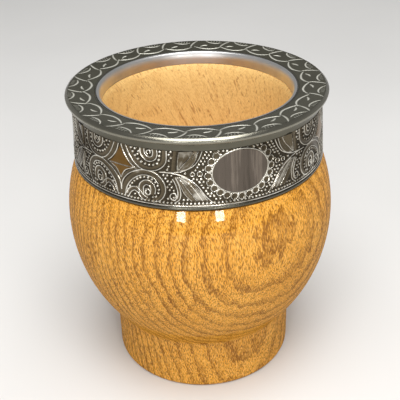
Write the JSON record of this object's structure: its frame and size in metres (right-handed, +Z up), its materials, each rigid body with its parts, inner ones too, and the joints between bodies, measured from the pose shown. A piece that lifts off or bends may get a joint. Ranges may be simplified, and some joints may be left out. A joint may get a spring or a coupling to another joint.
{
  "type": "wooden mate cup",
  "caption": "Turned wooden mate cup with a round belly on a straight foot, topped by a chased metal ferrule whose broad dished rim lines the mouth.",
  "frame": {"origin": "centre of the foot's standing face, on the table", "axes": "+Z up along the axis of the cup, -Y towards the middle of the front medallion, +Y towards the seam of the band"},
  "size_m": [0.0898, 0.0898, 0.1006],
  "materials": {
    "varnished_wood": "glossy clear varnish outside, bare inside",
    "nickel_silver": "polished, with dark patina in the chasing",
    "solder": "filed and polished",
    "glue": "matt"
  },
  "bodies": {
    "root": {"wooden_cup": "varnished_wood", "lower_edge_wire": "nickel_silver", "ferrule_band": "nickel_silver", "band_seam": "solder", "rim_skirt": "nickel_silver", "rim_edge_wire": "nickel_silver", "rim_plate": "nickel_silver", "mouth_collar": "nickel_silver", "neck_glue": "glue", "rim_glue": "glue"}
  },
  "joints": []
}
